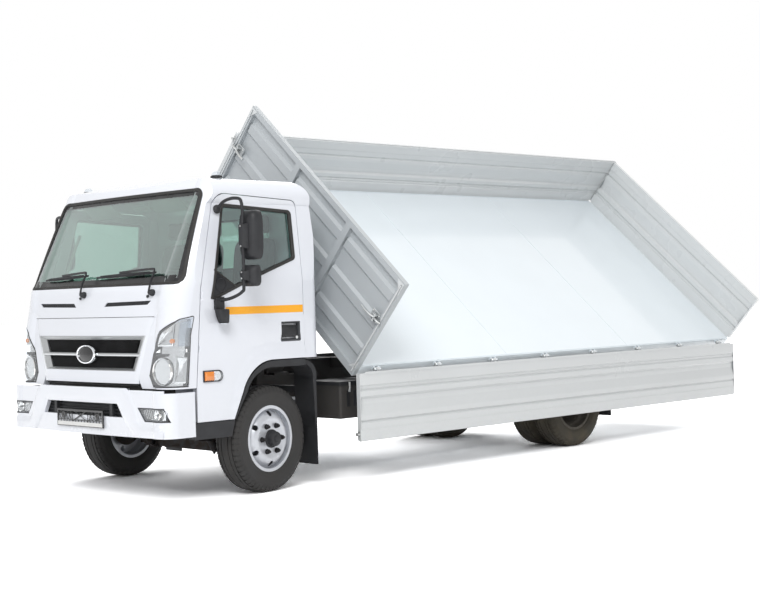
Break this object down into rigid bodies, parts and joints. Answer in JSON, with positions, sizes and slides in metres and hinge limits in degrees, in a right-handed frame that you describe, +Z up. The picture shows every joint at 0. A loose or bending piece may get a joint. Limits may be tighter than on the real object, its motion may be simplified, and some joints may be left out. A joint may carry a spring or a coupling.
{
  "type": "side-tipping dump truck",
  "caption": "Cab-over dump truck with its flat bed tipped to the left and the near side board dropped; wheels, steering, doors, cab, boards and tipping ram move.",
  "frame": {"origin": "on the ground under the middle of the plan outline, bed tipped", "axes": "+X forward, +Y to the driver's left, +Z up"},
  "size_m": [7.428, 3.1478, 3.1912],
  "materials": {
    "chassis_paint": "satin enamel",
    "axle_iron": "painted casting",
    "spring_steel": "dark spring steel",
    "engine_iron": "dull casting",
    "tank_aluminium": "satin sheet",
    "exhaust_steel": "heat-dulled steel",
    "cab_paint": "gloss white enamel",
    "bed_paint": "light grey enamel",
    "floor_paint": "gloss floor enamel",
    "rim_silver": "silver enamel",
    "tyre_rubber": "matt moulded rubber",
    "black_plastic": "moulded grain",
    "grille_black": "gloss moulding",
    "dash_plastic": "moulded grain",
    "seat_fabric": "woven cloth",
    "window_glass": "tinted float glass",
    "lamp_lens": "clear moulded lens",
    "tail_lens": "red moulded lens",
    "plate_blank": "blank plate",
    "ram_paint": "satin enamel",
    "ram_chrome": "ground chrome"
  },
  "bodies": {
    "chassis": {"chassis_frame": "chassis_paint", "subframe": "chassis_paint", "front_axle": "axle_iron", "rear_axle": "axle_iron", "leaf_springs": "spring_steel", "engine": "engine_iron", "fuel_tank": "tank_aluminium", "battery_box": "chassis_paint", "air_tanks": "tank_aluminium", "exhaust": "exhaust_steel", "hydraulic_tank": "chassis_paint", "bumper": "cab_paint", "side_steps": "black_plastic", "fog_lamps": "lamp_lens", "number_plates": "plate_blank", "mudguards": "black_plastic", "rear_bar": "chassis_paint", "tail_lamps": "tail_lens"},
    "cab": {"cab_body": "cab_paint", "front_panel": "cab_paint", "grille": "grille_black", "headlamps": "lamp_lens", "cab_glass": "window_glass", "cab_trim": "black_plastic", "dashboard": "dash_plastic", "seats": "seat_fabric"},
    "bed": {"bed_floor": "floor_paint", "headboard": "bed_paint"},
    "left_board": {"left_board": "bed_paint"},
    "right_board": {"right_board": "bed_paint"},
    "tailgate": {"tailgate": "bed_paint"},
    "ram_barrel": {"cylinder_barrel": "ram_paint"},
    "ram_stage": {"cylinder_stage": "ram_chrome"},
    "ram_rod": {"cylinder_rod": "ram_chrome"},
    "tie_rod": {"tie_rod": "axle_iron"},
    "left_knuckle": {"left_knuckle": "axle_iron"},
    "front_left_wheel": {"front_left_rim": "rim_silver", "front_left_tyre": "tyre_rubber"},
    "rear_left_wheels": {"rear_left_rims": "rim_silver", "rear_left_tyres": "tyre_rubber"},
    "left_door": {"left_door": "cab_paint", "left_door_glass": "window_glass", "left_mirrors": "black_plastic"},
    "right_knuckle": {"right_knuckle": "axle_iron"},
    "front_right_wheel": {"front_right_rim": "rim_silver", "front_right_tyre": "tyre_rubber"},
    "rear_right_wheels": {"rear_right_rims": "rim_silver", "rear_right_tyres": "tyre_rubber"},
    "right_door": {"right_door": "cab_paint", "right_door_glass": "window_glass", "right_mirrors": "black_plastic"}
  },
  "joints": [
    {"name": "steer_left", "type": "hinge", "parent": "chassis", "child": "left_knuckle", "pos_m": [2.67, 0.65812, 0.415], "axis": [0, 0, 1], "range_deg": [-45.5, 28.5]},
    {"name": "steer_right", "type": "hinge", "parent": "chassis", "child": "right_knuckle", "pos_m": [2.67, -1.02588, 0.415], "axis": [0, 0, 1], "range_deg": [-45.5, 28.5]},
    {"name": "tie_rod_end", "type": "hinge", "parent": "left_knuckle", "child": "tie_rod", "pos_m": [2.53352, 0.63772, 0.323], "axis": [0, 0, 1], "range_deg": [-28.5, 45.5]},
    {"name": "front_left_wheel_spin", "type": "hinge", "parent": "left_knuckle", "child": "front_left_wheel", "pos_m": [2.65795, 0.73872, 0.415], "axis": [-0.1478, 0.989, 0], "continuous": true},
    {"name": "rear_left_wheels_spin", "type": "hinge", "parent": "chassis", "child": "rear_left_wheels", "pos_m": [-1.15, 0.61712, 0.415], "axis": [0, 1, 0], "continuous": true},
    {"name": "front_right_wheel_spin", "type": "hinge", "parent": "right_knuckle", "child": "front_right_wheel", "pos_m": [2.68205, -1.10649, 0.415], "axis": [-0.1478, 0.989, 0], "continuous": true},
    {"name": "rear_right_wheels_spin", "type": "hinge", "parent": "chassis", "child": "rear_right_wheels", "pos_m": [-1.15, -0.98488, 0.415], "axis": [0, 1, 0], "continuous": true},
    {"name": "cab_tilt", "type": "hinge", "parent": "chassis", "child": "cab", "pos_m": [3.525, -0.18388, 0.9], "axis": [0, 1, 0], "range_deg": [0, 45]},
    {"name": "left_door_hinge", "type": "hinge", "parent": "cab", "child": "left_door", "pos_m": [3.391, 0.90112, 1.3], "axis": [0, 0, -1], "range_deg": [0, 70]},
    {"name": "right_door_hinge", "type": "hinge", "parent": "cab", "child": "right_door", "pos_m": [3.391, -1.26888, 1.3], "axis": [0, 0, 1], "range_deg": [0, 70]},
    {"name": "bed_tip", "type": "hinge", "parent": "chassis", "child": "bed", "pos_m": [-0.9295, 0.73612, 1.077], "axis": [1, 0, 0], "range_deg": [0, 41.7]},
    {"name": "left_board_hinge", "type": "hinge", "parent": "bed", "child": "left_board", "pos_m": [-0.9295, 1.00191, 0.9018], "axis": [1, 0, 0], "range_deg": [-8, 138.3]},
    {"name": "right_board_hinge", "type": "hinge", "parent": "bed", "child": "right_board", "pos_m": [-0.9295, -0.84229, 2.54492], "axis": [1, 0, 0], "range_deg": [0, 170]},
    {"name": "tailgate_hinge", "type": "hinge", "parent": "bed", "child": "tailgate", "pos_m": [-3.684, 0.07981, 1.72336], "axis": [0, -0.7466, 0.6652], "range_deg": [0, 170]},
    {"name": "ram_swing", "type": "hinge", "parent": "chassis", "child": "ram_barrel", "pos_m": [-0.275, -0.08388, 0.64], "axis": [1, 0, 0], "range_deg": [-0.01, 20.13]},
    {"name": "ram_extend_1", "type": "slide", "parent": "ram_barrel", "child": "ram_stage", "axis": [0, 0.0999, 0.995], "range_m": [-0.3087, 0.0005]},
    {"name": "ram_extend_2", "type": "slide", "parent": "ram_stage", "child": "ram_rod", "axis": [0, 0.0999, 0.995], "range_m": [-0.3087, 0.0005]}
  ],
  "couplings": [
    {"joint": "steer_right", "follows": "steer_left", "ratio": 1},
    {"joint": "tie_rod_end", "follows": "steer_left", "ratio": -1},
    {"joint": "ram_swing", "follows": "bed_tip", "ratio": 0.48241},
    {"joint": "ram_extend_1", "follows": "bed_tip", "m_per_rad": -0.42347},
    {"joint": "ram_extend_2", "follows": "bed_tip", "m_per_rad": -0.42347}
  ]
}
